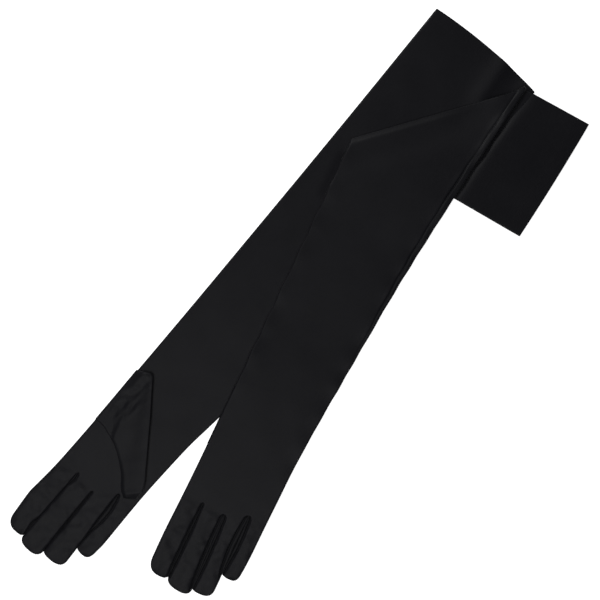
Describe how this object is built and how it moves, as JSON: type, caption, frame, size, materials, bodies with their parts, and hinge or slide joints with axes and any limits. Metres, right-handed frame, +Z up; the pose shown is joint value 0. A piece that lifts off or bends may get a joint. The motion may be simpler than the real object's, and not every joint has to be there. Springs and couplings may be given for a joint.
{
  "type": "opera gloves",
  "caption": "Pair of long black stretch-satin opera gloves laid flat and crossed, one palm up with its thumb folded over, the other back up with its cuff end folded under.",
  "frame": {"origin": "centre of the pair's outline on the surface that it lies on", "axes": "+Z up from the surface, +Y along the pair from the fingertips towards the cuffs, +X towards the folded cuff end of the left glove"},
  "size_m": [0.2298, 0.6034, 0.0084],
  "materials": {
    "stretch_satin": "satin",
    "satin_inside": "matte"
  },
  "bodies": {
    "right_glove": {"right_trank_back": "stretch_satin", "right_trank_palm": "stretch_satin", "right_thumb_side_fold": "stretch_satin", "right_side_seam_allowance": "satin_inside", "right_cuff_hem": "satin_inside"},
    "left_glove": {"left_trank_back": "stretch_satin", "left_trank_palm": "stretch_satin", "left_thumb_side_fold": "stretch_satin", "left_side_seam_allowance": "satin_inside"},
    "right_index": {"right_index_back": "stretch_satin", "right_index_palm": "stretch_satin", "right_fourchette_index_middle_on_index": "satin_inside"},
    "right_middle": {"right_middle_back": "stretch_satin", "right_middle_palm": "stretch_satin", "right_fourchette_index_middle_on_middle": "satin_inside", "right_fourchette_middle_ring_on_middle": "satin_inside"},
    "right_ring": {"right_ring_back": "stretch_satin", "right_ring_palm": "stretch_satin", "right_fourchette_middle_ring_on_ring": "satin_inside", "right_fourchette_ring_little_on_ring": "satin_inside"},
    "right_little": {"right_little_back": "stretch_satin", "right_little_palm": "stretch_satin", "right_fourchette_ring_little_on_little": "satin_inside"},
    "right_thumb": {"right_thumb_front": "stretch_satin", "right_thumb_back": "stretch_satin"},
    "left_index": {"left_index_back": "stretch_satin", "left_index_palm": "stretch_satin", "left_fourchette_index_middle_on_index": "satin_inside"},
    "left_middle": {"left_middle_back": "stretch_satin", "left_middle_palm": "stretch_satin", "left_fourchette_index_middle_on_middle": "satin_inside", "left_fourchette_middle_ring_on_middle": "satin_inside"},
    "left_ring": {"left_ring_back": "stretch_satin", "left_ring_palm": "stretch_satin", "left_fourchette_middle_ring_on_ring": "satin_inside", "left_fourchette_ring_little_on_ring": "satin_inside"},
    "left_little": {"left_little_back": "stretch_satin", "left_little_palm": "stretch_satin", "left_fourchette_ring_little_on_little": "satin_inside"},
    "left_thumb": {"left_thumb_front": "stretch_satin", "left_thumb_back": "stretch_satin"},
    "left_cuff": {"left_cuff_back": "stretch_satin", "left_cuff_palm": "stretch_satin", "left_cuff_thumb_side_fold": "stretch_satin", "left_cuff_hem": "satin_inside"}
  },
  "joints": [
    {"name": "right_index_fold", "type": "hinge", "parent": "right_glove", "child": "right_index", "pos_m": [-0.07358, -0.22559, 0.0026], "axis": [-0.9925, 0.1222, 0], "range_deg": [0, 90]},
    {"name": "right_middle_fold", "type": "hinge", "parent": "right_glove", "child": "right_middle", "pos_m": [-0.07358, -0.22559, 0.0026], "axis": [-0.9925, 0.1222, 0], "range_deg": [0, 90]},
    {"name": "right_ring_fold", "type": "hinge", "parent": "right_glove", "child": "right_ring", "pos_m": [-0.07358, -0.22559, 0.0026], "axis": [-0.9925, 0.1222, 0], "range_deg": [0, 90]},
    {"name": "right_little_fold", "type": "hinge", "parent": "right_glove", "child": "right_little", "pos_m": [-0.07358, -0.22559, 0.0026], "axis": [-0.9925, 0.1222, 0], "range_deg": [0, 90]},
    {"name": "right_thumb_unfold", "type": "hinge", "parent": "right_glove", "child": "right_thumb", "pos_m": [-0.10182, -0.11451, 0.00275], "axis": [-0.096, -0.9954, 0], "range_deg": [0, 178]},
    {"name": "left_glove_lift", "type": "slide", "parent": "right_glove", "child": "left_glove", "axis": [0, 0, 1], "range_m": [0, 0.45]},
    {"name": "left_index_fold", "type": "hinge", "parent": "left_glove", "child": "left_index", "pos_m": [0.03409, -0.17659, 0.00415], "axis": [-0.9923, -0.1236, 0], "range_deg": [0, 90]},
    {"name": "left_middle_fold", "type": "hinge", "parent": "left_glove", "child": "left_middle", "pos_m": [0.03409, -0.17659, 0.00415], "axis": [-0.9923, -0.1236, 0], "range_deg": [0, 90]},
    {"name": "left_ring_fold", "type": "hinge", "parent": "left_glove", "child": "left_ring", "pos_m": [0.03409, -0.17659, 0.00415], "axis": [-0.9923, -0.1236, 0], "range_deg": [0, 90]},
    {"name": "left_little_fold", "type": "hinge", "parent": "left_glove", "child": "left_little", "pos_m": [0.03409, -0.17659, 0.00415], "axis": [-0.9923, -0.1236, 0], "range_deg": [0, 90]},
    {"name": "left_thumb_unfold", "type": "hinge", "parent": "left_glove", "child": "left_thumb", "pos_m": [-0.01327, -0.13211, 0.003], "axis": [-0.1653, 0.986, 0.0237], "range_deg": [0, 180]},
    {"name": "left_cuff_unfold", "type": "hinge", "parent": "left_glove", "child": "left_cuff", "pos_m": [-0.06212, 0.16221, 0.00565], "axis": [0.6323, 0.7747, 0], "range_deg": [0, 180]}
  ],
  "couplings": [
    {"joint": "left_thumb_unfold", "follows": "left_glove_lift", "rad_per_m": 6.98},
    {"joint": "left_cuff_unfold", "follows": "left_glove_lift", "rad_per_m": 6.98}
  ]
}
